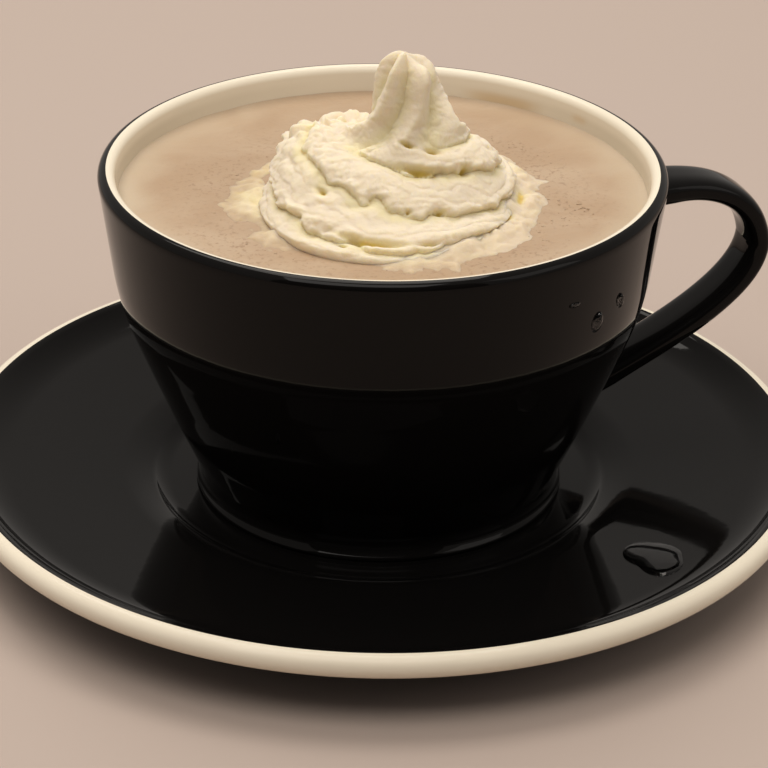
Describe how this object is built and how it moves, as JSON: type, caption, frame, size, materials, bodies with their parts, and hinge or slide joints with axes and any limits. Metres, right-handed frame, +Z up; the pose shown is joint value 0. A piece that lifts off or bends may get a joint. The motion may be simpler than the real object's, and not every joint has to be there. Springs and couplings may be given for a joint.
{
  "type": "hot chocolate",
  "caption": "Hot chocolate in a wide glazed ceramic cup on its saucer, filled near the lip and topped with a piped swirl of whipped cream.",
  "frame": {"origin": "on the table, on the axis that the cup and the saucer share", "axes": "+Z up along the cup's axis, +X towards the handle"},
  "size_m": [0.166, 0.166, 0.0956],
  "materials": {
    "black_glaze": "glossy black glaze",
    "cream_glaze": "glossy cream-white glaze",
    "drink": "milky chocolate with fine foam",
    "whipped_cream": "soft matt whipped cream"
  },
  "bodies": {
    "root": {"saucer": "black_glaze", "cup": "black_glaze", "drink": "drink", "cream": "whipped_cream"}
  },
  "joints": []
}
